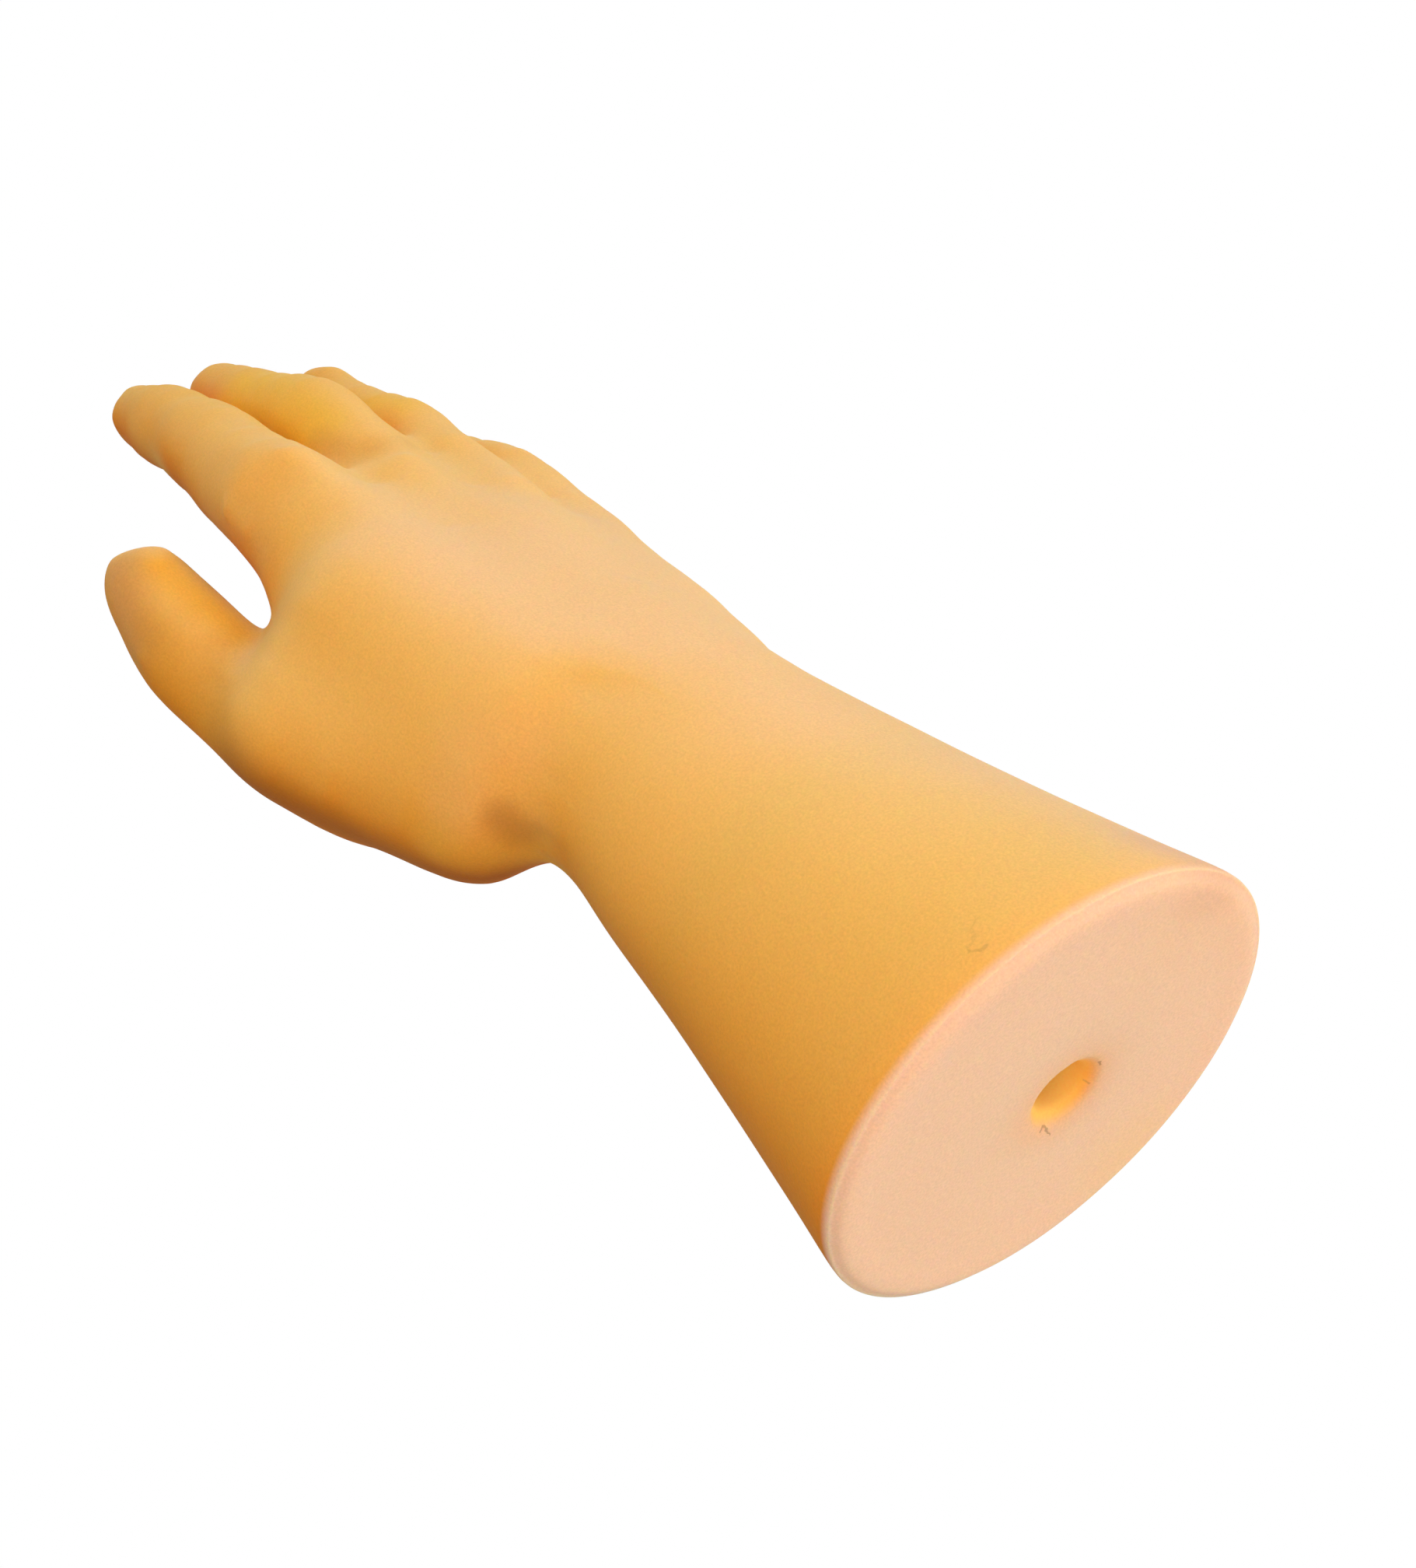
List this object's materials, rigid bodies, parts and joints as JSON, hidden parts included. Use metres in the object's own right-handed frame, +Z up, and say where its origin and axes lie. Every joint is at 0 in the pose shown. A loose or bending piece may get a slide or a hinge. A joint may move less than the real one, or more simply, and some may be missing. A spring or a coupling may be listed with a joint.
{
  "type": "hand jewelry stand",
  "caption": "Free-standing right hand in hollow soft vinyl, straight fingers on a flared forearm with a round flat foot and a vent hole, for showing rings and bracelets.",
  "frame": {"origin": "middle of the part's length and width, on the plane that the foot stands on; the foot's centre lies about 13 mm from it towards +X", "axes": "+Z up the forearm to the fingertips, -Y out of the back of the hand, +Y out of the palm, -X towards the thumb, +X towards the little finger"},
  "size_m": [0.1016, 0.0762, 0.2404],
  "materials": {
    "vinyl": "soft vinyl with a fine satin grain, coloured through, warm yellow-orange skin tone"
  },
  "bodies": {
    "root": {"hand_moulding": "vinyl"}
  },
  "joints": []
}
